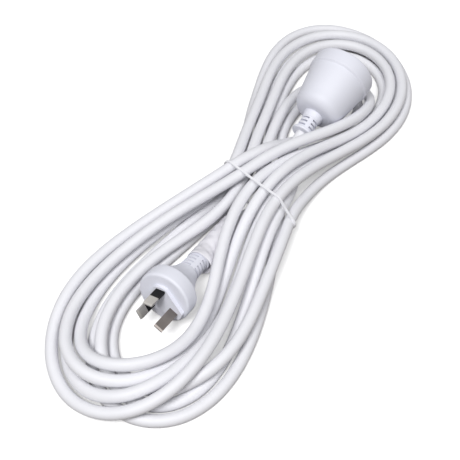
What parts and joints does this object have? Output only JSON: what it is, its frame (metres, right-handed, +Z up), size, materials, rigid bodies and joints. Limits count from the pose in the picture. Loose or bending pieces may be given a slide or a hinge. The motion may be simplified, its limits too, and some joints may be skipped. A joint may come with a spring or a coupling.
{
  "type": "extension cord",
  "caption": "White three-core extension cord put away as a tied figure-of-eight hank, with a three-pin plug, a trailing socket and a blank sleeve on the cord.",
  "frame": {"origin": "middle of the hank's base, on the floor under the part", "axes": "+X along the hank towards the socket's end, +Y to the left of that, +Z up from the floor"},
  "size_m": [0.3981, 0.1733, 0.0591],
  "materials": {
    "cord_sheath": "soft satin PVC",
    "white_moulding": "smooth satin PVC moulding",
    "pin_metal": "nickel plated brass, brushed along the blade",
    "pin_insulation": "satin moulded skin",
    "spring_brass": "stamped",
    "core_brown": "satin",
    "core_blue": "satin",
    "core_earth": "satin",
    "label_film": "thin shrink film",
    "tie_band": "flat moulded strap"
  },
  "bodies": {
    "root": {"active_clip": "spring_brass", "active_pin": "pin_metal", "active_pin_sleeve": "pin_insulation", "cord_hank": "cord_sheath", "earth_clip": "spring_brass", "earth_pin": "pin_metal", "label_sleeve": "label_film", "neutral_clip": "spring_brass", "neutral_pin": "pin_metal", "neutral_pin_sleeve": "pin_insulation", "plug_active_crimp": "spring_brass", "plug_blue_core": "core_blue", "plug_body": "white_moulding", "plug_brown_core": "core_brown", "plug_earth_crimp": "spring_brass", "plug_green_yellow_core": "core_earth", "plug_neutral_crimp": "spring_brass", "plug_pin_bridge": "white_moulding", "plug_tail": "cord_sheath", "socket_active_crimp": "spring_brass", "socket_blue_core": "core_blue", "socket_body": "white_moulding", "socket_brown_core": "core_brown", "socket_earth_crimp": "spring_brass", "socket_face": "white_moulding", "socket_green_yellow_core": "core_earth", "socket_neutral_crimp": "spring_brass", "socket_tail": "cord_sheath", "waist_tie": "tie_band"}
  },
  "joints": []
}
